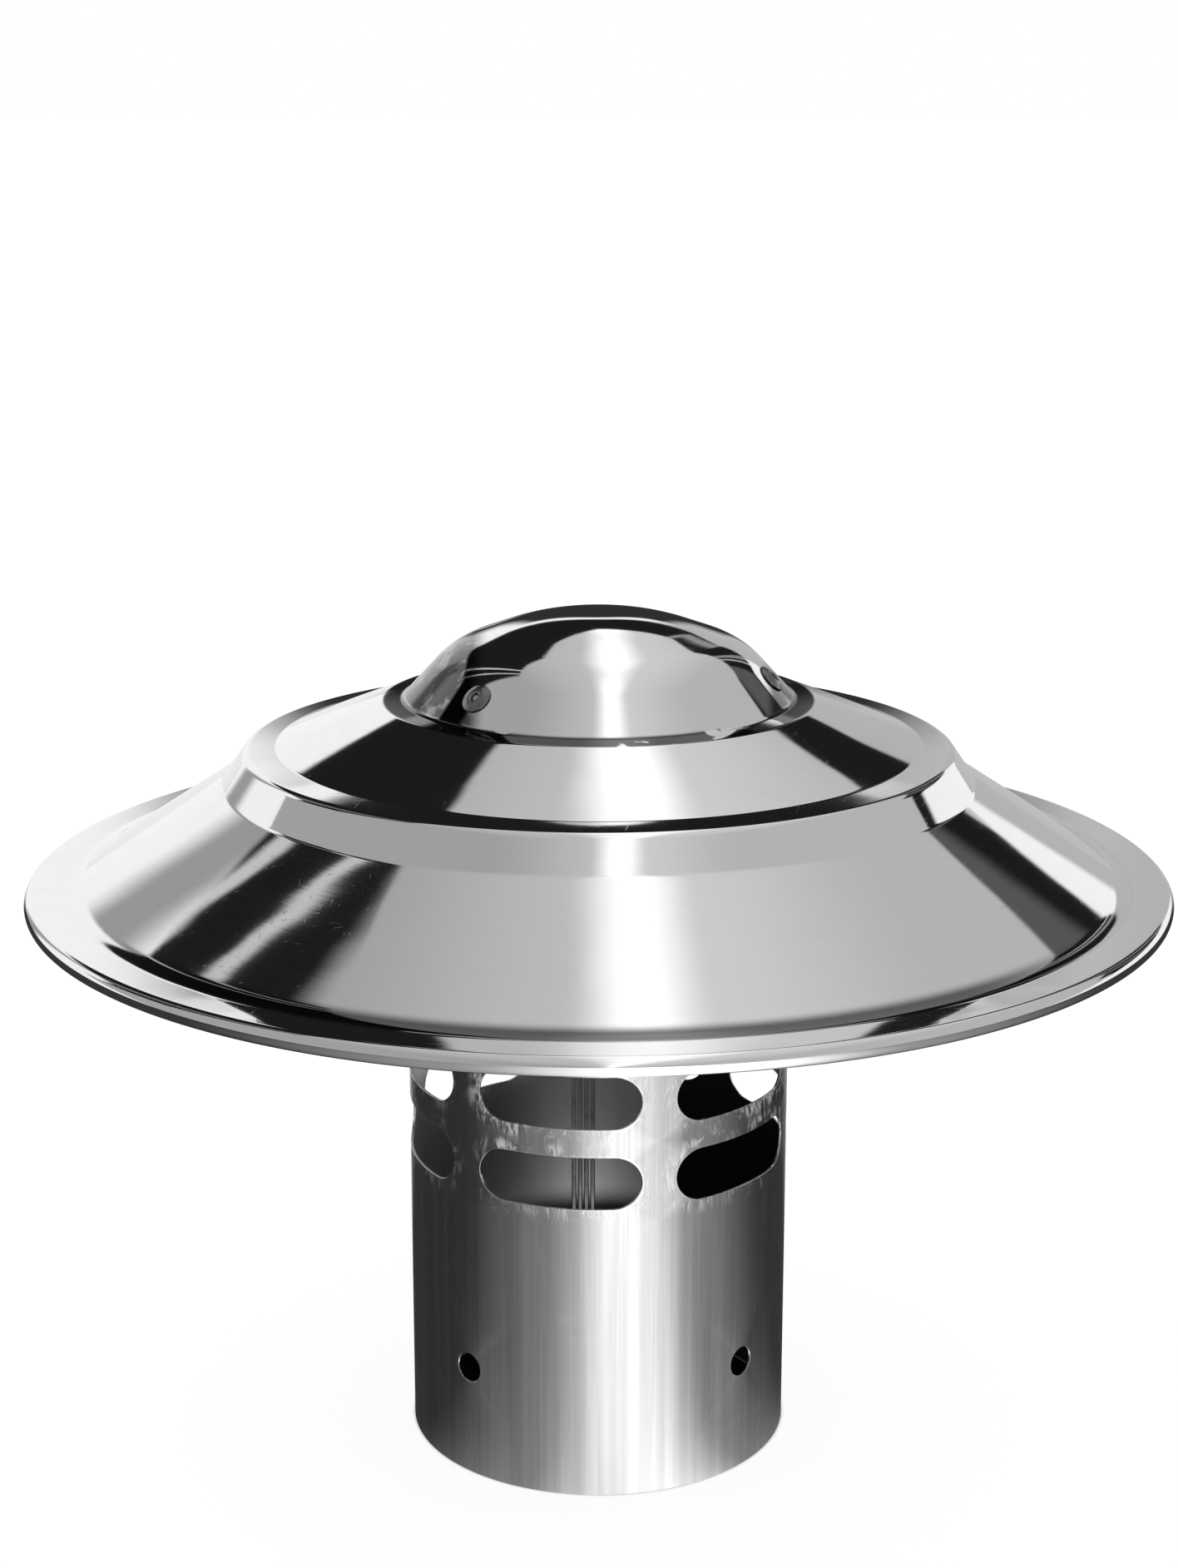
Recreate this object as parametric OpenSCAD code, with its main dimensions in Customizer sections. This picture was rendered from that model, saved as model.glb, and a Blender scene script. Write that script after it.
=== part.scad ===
// Roof vent cap: a slotted sleeve that slips over a round flue pipe, under a wide spun hood.
// Three blind rivets hold the hood to tabs that turn in from the top of the sleeve.
// The origin is the centre of the sleeve's foot, +Z is up, and the front faces -Y.

/* [Pipe and sheet] */
// Outside diameter of the flue pipe that the sleeve slips over
pipe_d = 100; // [98:0.5:101]
// Gap between pipe and sleeve, measured on the diameter
pipe_gap = 0.6; // [0.4:0.1:1]
// Thickness of the steel sheet
sheet_t = 0.7; // [0.5:0.1:0.8]

/* [Sleeve] */
// Height of the rolled rim's centre above the sleeve's foot
rim_z = 154; // [150:1:170]
// Height of the sleeve's top edge above the rim's centre, inside the hood
sleeve_rise = 45; // [38:0.5:46]

/* [Slots] */
// Number of slots round the sleeve
slot_columns = 6; // [4:1:6]
// Number of rows of slots
slot_rows = 4; // [1:1:4]
// Angle that one slot takes up, in degrees
slot_angle = 49.5; // [40:0.5:52]
// Height of one slot
slot_h = 14; // [10:0.5:15]
// Distance from one row to the next
slot_pitch = 21.6; // [18:0.1:22]
// Height of the lowest slots' lower edge above the foot
slot_z = 80; // [70:1:82]

/* [Screw holes] */
// Number of screw holes round the foot
screw_holes = 4; // [2:1:6]
// Diameter of each screw hole
screw_hole_d = 8; // [5:0.5:9]
// Height of the screw holes' centres above the foot
screw_hole_z = 30; // [20:1:40]

/* [Hood] */
// Outside diameter of the hood over its rolled rim
hood_d = 300; // [290:1:310]
// Thickness of the rolled rim
rim_d = 4.7; // [4:0.1:5.4]
// Radius at which the sloping skirt meets the flat flange
skirt_r = 137; // [134:0.5:139]
// Radius of the foot of the steep collar
collar_r = 98.2; // [97:0.1:100]
// Height of the collar's foot above the rim's centre
collar_z = 27.6; // [26:0.2:29]
// Radius of the shoulder at the top of the collar
shoulder_r = 92.4; // [90:0.1:93]
// Height of the shoulder above the rim's centre
shoulder_z = 36.1; // [35:0.1:36.4]
// Radius at which the upper band ends on the shoulder
band_r = 84; // [82:0.5:86]
// Height of the upper band's outer edge above the rim's centre
band_z = 37; // [36.8:0.1:38]
// Outer radius of the narrow ledge round the crown
ledge_r = 56.5; // [55:0.5:60]
// Height of that ledge's outer edge above the rim's centre
ledge_z = 48; // [47:0.1:48.2]
// Radius of the crown's base
crown_r = 51; // [51:0.1:52]
// Height of the crown's base above the rim's centre
crown_z = 48.8; // [48.4:0.2:50]
// Radius of the rounded edge of the crown's top
crown_top_r = 38.5; // [36:0.5:39]
// Height of that rounded edge above the rim's centre
crown_edge_z = 62.4; // [60:0.2:64]
// Height of the crown's top above the rim's centre
crown_top_z = 71; // [68:0.5:73]

/* [Rivets] */
// Radius at which the rivets go through the crown's flank
rivet_r = 45.2; // [44.6:0.1:45.8]
// Diameter of a rivet's head
rivet_head_d = 8; // [6:0.5:8]
// Diameter of a rivet's shank
rivet_d = 4; // [3:0.2:4.2]
// Width of a tab where it leaves the sleeve
tab_w = 16; // [12:0.5:20]

/* [Hidden] */
$fn = 96;
arc_step = 6;
past = 2;
clearance = 0.05;

// Number of tabs, with one rivet in each
rivets = 3;
rivet_phase = 240;

// Sleeve
bore_r = (pipe_d + pipe_gap) / 2;
sleeve_r = bore_r + sheet_t;
sleeve_top = rim_z + sleeve_rise;
column_step = 360 / slot_columns;
slot_half = sleeve_r * sin(slot_angle / 2) - slot_h / 2;
screw_hole_phase = 60;

// Hood, as one line through the middle of the sheet, from the axis out to the rim
dome_r = 64;
crown_edge_round = 24;
crown_foot_round = 2.2;
ledge_round = 4;
band_foot_round = 3.5;
shoulder_round = 2.2;
collar_foot_round = 2.6;
skirt_foot_round = 9;
curl_r = (rim_d - sheet_t) / 2;
curl_centre = hood_d / 2 - rim_d / 2;
curl_end = -195;
hood_corners = [
    [0, crown_top_z, 0],
    [15, crown_top_z, dome_r],
    [crown_top_r, crown_edge_z, crown_edge_round],
    [crown_r, crown_z, crown_foot_round],
    [ledge_r, ledge_z, ledge_round],
    [band_r, band_z, band_foot_round],
    [shoulder_r, shoulder_z, shoulder_round],
    [collar_r, collar_z, collar_foot_round],
    [skirt_r, curl_r, skirt_foot_round]
];

// Crown's flank, on which the tabs lie
flank = [crown_r - crown_top_r, crown_z - crown_edge_z];
flank_len = norm(flank);
flank_dir = flank / flank_len;
flank_out = [-flank_dir[1], flank_dir[0]];
flank_tilt = atan2(flank_out[0], flank_out[1]);
rivet_z = crown_z + (crown_r - rivet_r) * -flank_dir[1] / flank_dir[0];
tab_past_rivet = 4;
tab_bend_r = 3;
tab_mid_r = bore_r + sheet_t / 2;
tab_root_z = crown_z - sheet_t * flank_out[1]
    + (tab_mid_r - (crown_r - sheet_t * flank_out[0])) * flank_dir[1] / flank_dir[0];
tab_angle = tab_w / tab_mid_r * 180 / PI;
tab_tip = [rivet_r, rivet_z] - sheet_t * flank_out - tab_past_rivet * flank_dir;

// Blind rivet, along its own axis: 0 is the middle of the hood's sheet
head_seat = sheet_t / 2;
head_h = 1.2;
stem_d = 2.2;
stem_end = head_seat + 0.7;
grip_end = -1.5 * sheet_t - 0.1;
stem_tip_h = 0.3;
bulb_d = 5.6;
bulb_h = 3.4;
bulb_slope = 0.9;
grip_step = 0.4;
lip = 0.2;
blind_end = grip_end - bulb_h;
mandrel_head_d = 4;
mandrel_foot_r = 1.2;
stem_tip_r = 0.8;
mandrel_head_h = 1.6;

// Unit vector from a to b
function along(a, b) = (b - a) / norm(b - a);

// Points of the arc that rounds the corner b between a and c
function corner_arc(a, b, c, radius) =
    let (
        u = along(b, a),
        v = along(b, c),
        inside = acos(u * v),
        turn = 180 - inside,
        reach = radius / tan(inside / 2),
        centre = b + along([0, 0], u + v) * radius / sin(inside / 2),
        start = b + u * reach - centre,
        side = sign(u[0] * v[1] - u[1] * v[0]),
        steps = max(1, ceil(turn / arc_step))
    )
    [for (i = [0 : steps])
        let (a = -side * turn * i / steps)
        centre + [start[0] * cos(a) - start[1] * sin(a), start[0] * sin(a) + start[1] * cos(a)]];

// A line through the corners [r, z, rounding], rounded at each inner corner
function rounded_line(corners) = [
    for (i = [0 : len(corners) - 1])
        let (
            b = [corners[i][0], corners[i][1]],
            inner = i > 0 && i < len(corners) - 1 && corners[i][2] > 0
        )
        each inner
            ? corner_arc([corners[i - 1][0], corners[i - 1][1]], b,
                         [corners[i + 1][0], corners[i + 1][1]], corners[i][2])
            : [b]
];

// Direction of a line at its point i
function heading(line, i) =
    along([0, 0],
          (i > 0 ? along(line[i - 1], line[i]) : [0, 0])
          + (i < len(line) - 1 ? along(line[i], line[i + 1]) : [0, 0]));

// The line moved sideways, to its left where distance is positive
function beside(line, distance) = [
    for (i = [0 : len(line) - 1])
        let (
            d = heading(line, i),
            edge = i < len(line) - 1 ? along(line[i], line[i + 1]) : along(line[i - 1], line[i])
        )
        line[i] + [-d[1], d[0]] * distance / (d * edge)
];

// A sheet of even thickness that follows a line
module sheet_profile(line) {
    there = beside(line, sheet_t / 2);
    back = beside(line, -sheet_t / 2);
    polygon(concat(there, [for (i = [len(back) - 1 : -1 : 0]) back[i]]));
}

function hood_line() = concat(
    rounded_line(concat(hood_corners, [[curl_centre, curl_r, 0]])),
    [for (a = [90 - 15 : -15 : curl_end]) [curl_centre + curl_r * cos(a), curl_r * sin(a)]]
);

function sleeve_line() = rounded_line([
    [tab_mid_r, 0, 0],
    [tab_mid_r, rim_z + tab_root_z, tab_bend_r],
    [tab_tip[0], rim_z + tab_tip[1], 0]
]);

// Puts its children on the crown's flank, in line with a tab, with their axis square to the flank
module at_rivet(i) {
    rotate([0, 0, rivet_phase + i * 360 / rivets])
        translate([rivet_r, 0, rim_z + rivet_z])
            rotate([0, flank_tilt, 0])
                children();
}

// One slot's shape, pushed out through the sleeve's wall along its middle
module slot_cut() {
    translate([0, 0, slot_h / 2])
        rotate([90, 0, 90])
            linear_extrude(height = sleeve_r + past)
                union() {
                    square([2 * slot_half, slot_h], center = true);
                    for (side = [-1, 1])
                        translate([side * slot_half, 0])
                            circle(d = slot_h);
                }
}

module slots() {
    for (row = [0 : slot_rows - 1], column = [0 : slot_columns - 1])
        translate([0, 0, slot_z + row * slot_pitch])
            rotate([0, 0, (column + 0.5) * column_step])
                slot_cut();
}

module foot_holes() {
    for (i = [0 : screw_holes - 1])
        rotate([0, 0, screw_hole_phase + i * 360 / screw_holes])
            translate([bore_r - past, 0, screw_hole_z])
                rotate([0, 90, 0])
                    cylinder(d = screw_hole_d, h = 2 * past + sheet_t);
}

// What is cut from the turned-in top to leave the tabs
module tab_gaps() {
    for (i = [0 : rivets - 1])
        rotate([0, 0, rivet_phase + tab_angle / 2 + i * 360 / rivets])
            rotate_extrude(angle = 360 / rivets - tab_angle)
                translate([tab_tip[0] - 2 * past, sleeve_top])
                    square([sleeve_r - tab_tip[0] + 3 * past, tab_tip[1]]);
}

// Spun hood: crown, upper band, shoulder, collar, skirt, flange and the rim curled under
module hood() {
    color("Gainsboro")
        difference() {
            translate([0, 0, rim_z])
                rotate_extrude()
                    sheet_profile(hood_line());
            for (i = [0 : rivets - 1])
                at_rivet(i)
                    cylinder(d = rivet_d + 2 * clearance, h = 2 * past, center = true);
        }
}

// Rolled sleeve: plain foot with its screw holes, rows of slots, and tabs at the top
module sleeve() {
    color("Silver")
        difference() {
            rotate_extrude()
                sheet_profile(sleeve_line());
            tab_gaps();
            slots();
            foot_holes();
            for (i = [0 : rivets - 1])
                at_rivet(i)
                    translate([0, 0, -2 * past])
                        cylinder(d = rivet_d + 2 * clearance, h = 3 * past);
        }
}

// Rivet body: domed head outside the hood, hollow shank, and the bulb that grips behind the tab
module rivet_body() {
    hole_r = stem_d / 2 + clearance;
    shank_r = rivet_d / 2;
    bulb_r = bulb_d / 2;
    dome_w = rivet_head_d / 2 - hole_r;
    dome = [for (a = [0 : 10 : 80]) [hole_r + dome_w * cos(a), head_seat + head_h * sin(a)]];
    color("LightGray")
        rotate_extrude()
            polygon(concat(
                [[hole_r, blind_end], [shank_r, blind_end], [bulb_r, blind_end + bulb_slope],
                 [bulb_r, grip_end - bulb_slope], [shank_r + grip_step, grip_end],
                 [shank_r, grip_end], [shank_r, head_seat]],
                dome,
                [[hole_r, head_seat + head_h - lip]]
            ));
}

// Mandrel: the broken stem held in the shank, with its head closing the blind end
module rivet_mandrel() {
    foot = blind_end - mandrel_head_h;
    stem_r = stem_d / 2;
    mandrel_head_r = mandrel_head_d / 2;
    color("DimGray")
        rotate_extrude()
            polygon([
                [0, foot], [mandrel_foot_r, foot], [mandrel_head_r, foot + mandrel_head_h / 2],
                [mandrel_head_r, blind_end], [stem_r, blind_end], [stem_r, stem_end - stem_tip_h],
                [stem_tip_r, stem_end], [0, stem_end]
            ]);
}

module numbered_rivet(i) { at_rivet(i - 1) rivet_body(); }
module numbered_mandrel(i) { at_rivet(i - 1) rivet_mandrel(); }

hood();
sleeve();
numbered_rivet(1);  // rivet_body_1
numbered_rivet(2);  // rivet_body_2
numbered_rivet(3);  // rivet_body_3
numbered_mandrel(1);  // rivet_mandrel_1
numbered_mandrel(2);  // rivet_mandrel_2
numbered_mandrel(3);  // rivet_mandrel_3
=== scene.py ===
"""Dresses the roof vent cap: spun and polished hood, slotted mill-finish sleeve, blind rivets, studio."""

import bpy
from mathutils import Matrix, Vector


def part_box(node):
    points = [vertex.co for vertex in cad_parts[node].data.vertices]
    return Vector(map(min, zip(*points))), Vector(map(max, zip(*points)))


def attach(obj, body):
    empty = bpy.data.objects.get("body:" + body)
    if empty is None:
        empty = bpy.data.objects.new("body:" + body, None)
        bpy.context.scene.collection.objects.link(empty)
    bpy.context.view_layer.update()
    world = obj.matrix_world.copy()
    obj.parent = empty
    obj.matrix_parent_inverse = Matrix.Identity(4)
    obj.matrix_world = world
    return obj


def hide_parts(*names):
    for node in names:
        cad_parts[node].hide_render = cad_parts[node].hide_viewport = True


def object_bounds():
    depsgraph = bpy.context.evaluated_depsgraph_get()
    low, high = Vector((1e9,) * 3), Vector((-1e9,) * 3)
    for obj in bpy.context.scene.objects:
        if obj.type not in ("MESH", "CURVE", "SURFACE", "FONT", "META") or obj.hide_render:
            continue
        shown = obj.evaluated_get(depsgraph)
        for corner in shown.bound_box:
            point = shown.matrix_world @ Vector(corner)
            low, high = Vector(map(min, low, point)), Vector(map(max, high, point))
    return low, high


bl_info = {
    "name": "Roof Vent Cap",
    "version": (1, 0, 0),
    "blender": (4, 5, 0),
    "location": "View3D > Sidebar > Vent Cap",
    "description": "Builds a spun steel rain hood on its slotted sleeve, with rivets and a plain studio",
    "category": "Add Mesh",
}

import math

import bmesh
import bpy
from bpy.props import (
    FloatProperty,
    FloatVectorProperty,
    IntProperty,
    PointerProperty,
)
from mathutils import Matrix, Vector, noise

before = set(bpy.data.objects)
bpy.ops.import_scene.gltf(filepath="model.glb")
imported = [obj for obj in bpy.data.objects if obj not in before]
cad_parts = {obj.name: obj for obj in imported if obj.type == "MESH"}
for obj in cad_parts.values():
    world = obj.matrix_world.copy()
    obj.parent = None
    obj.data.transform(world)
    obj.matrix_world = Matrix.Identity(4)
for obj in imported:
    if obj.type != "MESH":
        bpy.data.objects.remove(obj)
CAD_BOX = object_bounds()
HOOD_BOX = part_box("hood")

MM = 0.001
BODY = "root"

# Steps in one turn of the hood, of the sleeve and of a rivet
HOOD_STEPS = 240
SLEEVE_STEPS = 240
RIVET_STEPS = 48
# Largest turn and length of one step in a rounded corner
ARC_STEP = math.radians(4)
ARC_LENGTH = 0.9 * MM
# Longest step along a straight stretch of the hood, and the short steps at its two ends
LONG_STEP = 3 * MM
END_STEP = 0.35 * MM
# Edges that bend more than this are shaded sharp, and those past the second are rounded off
SHARP = math.radians(40)
CUT_EDGE = math.radians(50)
# How far the visual hood's rim stays inside the box of the solid one
RIM_INSET = 0.02 * MM
# Play round a rivet's shank and round its stem, and the gap between a tab and the upset bulb
RIVET_PLAY = 0.05 * MM
BULB_GAP = 0.1 * MM
# Degrees that the camera stands round to the right. Painted shade and dark reflections, and worn places, are
# laid out from there
VIEW_DEGREES = 12
# Slits of light in the dark walls: degrees from straight behind, half width and brightness
SLITS = ((-51.5, 1.3, 0.60), (-42.5, 1.8, 0.60), (15, 0.8, 0.30), (26, 2.2, 0.25), (30, 0.8, 0.60))


def length_property(name, description, millimetres):
    """A size that the panel shows in the scene's units."""
    return FloatProperty(
        name=name, description=description, default=millimetres * MM, min=0,
        unit="LENGTH", subtype="DISTANCE", precision=4,
    )


def angle_property(name, description, degrees):
    """An angle that the panel shows in degrees."""
    return FloatProperty(
        name=name, description=description, default=math.radians(degrees),
        unit="ROTATION", subtype="ANGLE",
    )


def share_property(name, description, value):
    """A number from 0 to 1."""
    return FloatProperty(
        name=name, description=description, default=value, min=0, max=1, subtype="FACTOR"
    )


def colour_property(name, description, value):
    """A colour that the panel shows as a swatch."""
    return FloatVectorProperty(
        name=name, description=description, default=value, size=3, min=0, max=1, subtype="COLOR"
    )


class VENTCAP_PG_hood(bpy.types.PropertyGroup):
    """Sizes of the spun hood. Heights are above the centre of the rolled rim."""

    rim_z: length_property("Rim height", "Height of the rolled rim's centre above the foot", 154)
    sheet: length_property("Sheet", "Thickness of the steel sheet", 0.7)
    rim_d: length_property("Rim thickness", "Thickness of the rolled rim", 4.7)
    skirt_r: length_property("Skirt radius", "Radius at which the skirt meets the flange", 137)
    collar_r: length_property("Collar radius", "Radius of the steep collar's foot", 98.2)
    collar_z: length_property("Collar height", "Height of the steep collar's foot", 27.6)
    shoulder_r: length_property("Shoulder radius", "Radius of the ledge above the collar", 92.4)
    shoulder_z: length_property("Shoulder height", "Height of the ledge above the collar", 36.1)
    band_r: length_property("Band radius", "Radius at which the upper band meets the ledge", 84)
    band_z: length_property("Band height", "Height at which the upper band meets the ledge", 37)
    ledge_r: length_property("Crown ledge radius", "Outer radius of the ledge round the crown", 56.5)
    ledge_z: length_property("Crown ledge height", "Outer height of the ledge round the crown", 48.0)
    crown_r: length_property("Crown radius", "Radius of the crown's base", 51)
    crown_z: length_property("Crown base height", "Height of the crown's base", 48.8)
    edge_r: length_property("Crown edge radius", "Radius of the crown's rounded edge", 38.5)
    edge_z: length_property("Crown edge height", "Height of the crown's rounded edge", 62.4)
    top_r: length_property("Crown top radius", "Radius of the flat line across the crown's top", 15)
    top_z: length_property("Crown height", "Height of the crown's top", 71)
    top_round: length_property("Dome rounding", "Rounding of the crown's top", 64)
    edge_round: length_property("Edge rounding", "Rounding of the crown's edge", 24)
    crown_round: length_property("Crown rounding", "Rounding at the crown's base", 2.2)
    ledge_round: length_property("Ledge rounding", "Rounding outside the ledge round the crown", 4)
    band_round: length_property("Band rounding", "Rounding where the upper band meets its ledge", 3.5)
    shoulder_round: length_property("Shoulder rounding", "Rounding above the collar", 2.2)
    collar_round: length_property("Collar rounding", "Rounding at the collar's foot", 2.6)
    skirt_round: length_property("Skirt rounding", "Rounding at the skirt's foot", 9)
    unevenness: length_property("Unevenness", "How far spinning left the sheet uneven", 0.05)


class VENTCAP_PG_sleeve(bpy.types.PropertyGroup):
    """Sizes of the rolled sleeve."""

    bore_r: length_property("Bore radius", "Radius inside the sleeve", 50.3)
    sheet: length_property("Sheet", "Thickness of the steel sheet", 0.7)
    height: length_property("Height", "Height of the sleeve's edge between its tabs", 199)
    columns: IntProperty(name="Columns", description="Slots round the sleeve", default=6, min=1)
    rows: IntProperty(name="Rows", description="Rows of slots", default=4, min=1)
    slot_angle: angle_property("Slot angle", "Angle that one slot takes up", 49.5)
    slot_h: length_property("Slot height", "Height of one slot", 14)
    slot_pitch: length_property("Slot pitch", "Distance from one row to the next", 21.6)
    slot_z: length_property("Slot level", "Height of the lowest slots' lower edge", 80)
    holes: IntProperty(name="Screw holes", description="Screw holes round the foot", default=4, min=1)
    hole_d: length_property("Hole", "Diameter of a screw hole", 8)
    hole_z: length_property("Hole level", "Height of the screw holes' centres", 30)
    seam_w: length_property("Seam width", "Width of the folded seam", 6.8)
    seam_angle: angle_property("Seam place", "Angle at which the folded seam lies", 107)


class VENTCAP_PG_rivets(bpy.types.PropertyGroup):
    """Sizes of the blind rivets and of the tabs that they go through."""

    count: IntProperty(name="Rivets", description="Number of rivets and tabs", default=3, min=1)
    phase: angle_property("First rivet", "Angle at which the first rivet lies", 240)
    radius: length_property("Radius", "Radius at which the rivets go through the crown", 45.2)
    head_d: length_property("Head", "Diameter of a rivet's head", 8)
    head_h: length_property("Head height", "Height of a rivet's head", 1.2)
    shank_d: length_property("Shank", "Diameter of a rivet's shank", 4)
    stem_d: length_property("Stem", "Diameter of the mandrel's stem", 2.2)
    bulb_d: length_property("Bulb", "Diameter of the upset end behind the tab", 5.6)
    bulb_h: length_property("Bulb height", "Height of the upset end", 3.4)
    tab_angle: angle_property("Tab angle", "Angle that one tab takes up", 18)
    tab_bend: length_property("Tab bend", "Rounding where a tab turns in", 3)
    tab_end: length_property("Tab end", "How far a tab reaches past its rivet's centre", 4)


class VENTCAP_PG_finish(bpy.types.PropertyGroup):
    """Colours and gloss of the metals."""

    polished: colour_property("Polished steel", "Colour of the hood", (0.86, 0.86, 0.86))
    polished_rough: share_property("Polish", "Roughness of the hood", 0.035)
    mill: colour_property("Mill steel", "Colour of the sleeve", (0.64, 0.64, 0.635))
    mill_rough: share_property("Mill finish", "Roughness of the sleeve", 0.23)
    rivet: colour_property("Rivet steel", "Colour of the rivets", (0.22, 0.22, 0.22))
    mandrel: colour_property("Mandrel steel", "Colour of the broken stems", (0.60, 0.60, 0.60))
    weld: colour_property("Seam steel", "Colour of the folded seam", (0.58, 0.58, 0.57))


class VENTCAP_PG_stage(bpy.types.PropertyGroup):
    """Camera, floor and light."""

    distance: length_property("Distance", "From the camera to the rim's centre", 735)
    azimuth: angle_property("Azimuth", "How far the camera stands round to the right", VIEW_DEGREES)
    elevation: angle_property("Elevation", "How far the camera stands above the rim", 16.07)
    tilt: angle_property("Tilt", "How far the camera looks above the rim's centre", 1.888)
    pan: angle_property("Pan", "How far the camera looks to the left of the rim's centre", 0.205)
    lens: FloatProperty(
        name="Focal length", description="The camera's focal length", default=63.44, unit="CAMERA"
    )
    floor: colour_property("Floor", "Colour of the floor", (0.92, 0.92, 0.92))
    backdrop: share_property("Backdrop", "Strength of the pale backdrop and soft light", 1.0)


class Socket:
    """One output of a node. Arithmetic on it adds Math nodes."""

    def __init__(self, shader, output):
        self.shader = shader
        self.output = output

    def other(self, name):
        """Another output of the same node."""
        return Socket(self.shader, self.output.node.outputs[name])

    def math(self, operation, *terms):
        """A Math node on the terms given."""
        return self.shader.node("Math", {"operation": operation}, dict(enumerate(terms)))

    def __add__(self, other):
        return self.math("ADD", self, other)

    def __sub__(self, other):
        return self.math("SUBTRACT", self, other)

    def __rsub__(self, other):
        return self.math("SUBTRACT", other, self)

    def __mul__(self, other):
        return self.math("MULTIPLY", self, other)

    def __truediv__(self, other):
        return self.math("DIVIDE", self, other)

    def __abs__(self):
        return self.math("ABSOLUTE", self)

    def __neg__(self):
        return self.math("MULTIPLY", self, -1)

    def sqrt(self):
        return self.math("SQRT", self)

    def sin(self):
        return self.math("SINE", self)

    def floor(self):
        return self.math("FLOOR", self)

    def at_least(self, other):
        """The larger of the two."""
        return self.math("MAXIMUM", self, other)

    def at_most(self, other):
        """The smaller of the two."""
        return self.math("MINIMUM", self, other)

    def rise(self, start, end):
        """0 below start, 1 above end, and smooth between. Falls where end is the lower one."""
        return self.shader.node(
            "MapRange",
            {"interpolation_type": "SMOOTHSTEP"},
            {"Value": self, "From Min": start, "From Max": end},
        )

    def between(self, start, full, fading, end):
        """1 from full to fading, 0 below start and above end, and smooth between."""
        return self.rise(start, full) * self.rise(end, fading)

    __radd__ = __add__
    __rmul__ = __mul__


class Shader:
    """The nodes of a material or of the world."""

    def __init__(self, tree):
        self.tree = tree
        tree.nodes.clear()

    def node(self, kind, settings=None, sockets=None, output=0):
        """Adds a node of a type, sets its settings, fills or links its sockets, gives an output."""
        made = self.tree.nodes.new("ShaderNode" + kind)
        for name, value in (settings or {}).items():
            setattr(made, name, value)
        for key, value in (sockets or {}).items():
            if isinstance(value, Socket):
                self.tree.links.new(value.output, made.inputs[key])
            else:
                made.inputs[key].default_value = value
        return Socket(self, made.outputs[output]) if len(made.outputs) else None

    def place(self):
        """Object coordinates: the vector and its three parts."""
        vector = self.node("TexCoord", output="Object")
        x = self.node("SeparateXYZ", sockets={"Vector": vector})
        return vector, x, x.other("Y"), x.other("Z")

    def vector(self, x, y, z=0.0):
        """A vector made of three parts."""
        return self.node("CombineXYZ", sockets={"X": x, "Y": y, "Z": z})

    def degrees(self, y, x):
        """The angle from X towards Y, in degrees."""
        return self.node("Math", {"operation": "ARCTAN2"}, {0: y, 1: x}) * math.degrees(1)

    def noise(self, vector, scale, detail=2.0, roughness=0.5, distortion=0.0, dimensions="3D"):
        """A noise from 0 to 1."""
        sockets = {"Vector": vector, "Scale": scale, "Detail": detail}
        sockets.update({"Roughness": roughness, "Distortion": distortion})
        return self.node("TexNoise", {"noise_dimensions": dimensions}, sockets)

    def mix(self, factor, a, b):
        """One colour into another."""
        return self.node("Mix", {"data_type": "RGBA"}, {0: factor, 6: a, 7: b}, output=2)

    def bump(self, height, depth, under=None):
        """A normal for a height from 0 to 1 that stands for so much depth, on top of another."""
        sockets = {"Height": height, "Distance": depth, "Strength": 1.0}
        if under is not None:
            sockets["Normal"] = under
        return self.node("Bump", sockets=sockets)

    def finish(self, **sockets):
        """The metal surface and the material's output."""
        surface = self.node(
            "BsdfPrincipled",
            sockets={name.replace("_", " "): value for name, value in sockets.items()},
        )
        self.node("OutputMaterial", sockets={"Surface": surface})


def rgba(colour, factor=1.0):
    """A property's colour, made brighter or darker, as a node takes it."""
    return (*(min(1.0, part * factor) for part in colour), 1.0)


def material(name):
    """A new material and the shader that fills it."""
    made = bpy.data.materials.new(name)
    made.use_nodes = True
    return made, Shader(made.node_tree)


def as_seen(x, y):
    """How far a place lies to the right of the axis and in front of it, as the camera stands."""
    turn = math.radians(VIEW_DEGREES)
    return x * math.cos(turn) + y * math.sin(turn), x * math.sin(turn) - y * math.cos(turn)


def crease_painted_shade(s, hood, place, radius, z):
    """Painted shade and dark reflection in the crease round the crown's foot, broken by bright flecks."""
    ring = radius.between(
        hood.crown_r - 0.5 * MM, hood.crown_r + 0.2 * MM, hood.ledge_r - 0.8 * MM, hood.ledge_r + 0.2 * MM
    )
    upper_side = z.rise(hood.rim_z + 40 * MM, hood.rim_z + 44 * MM)
    flecks = s.noise(place, 90, 2, 0.5).rise(0.57, 0.60)
    return ring * upper_side * (1 - flecks) * 0.96


def crown_sides_painted_reflection(s, hood, place, right, z):
    """Painted dark reflection, mottled, on the crown's left and right sides."""
    sides = right.rise(-28 * MM, -33 * MM).at_least(right.rise(42 * MM, 45 * MM))
    above_base = z.rise(hood.crown_z + hood.rim_z + 0.2 * MM, hood.crown_z + hood.rim_z + 1.2 * MM)
    blotches = s.noise(place, 150, 3, 0.6).rise(0.52, 0.64)
    return sides * above_base * (1 - blotches * 0.25) * 0.95


def skirt_foot_painted_reflection(hood, radius, front):
    """A painted dark reflection: a line at the skirt's foot, towards the camera."""
    line = radius.between(
        hood.skirt_r - 3.5 * MM, hood.skirt_r - 1 * MM, hood.skirt_r + 1 * MM, hood.skirt_r + 3 * MM
    )
    return line * front.rise(60 * MM, 110 * MM) * 0.9


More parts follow.
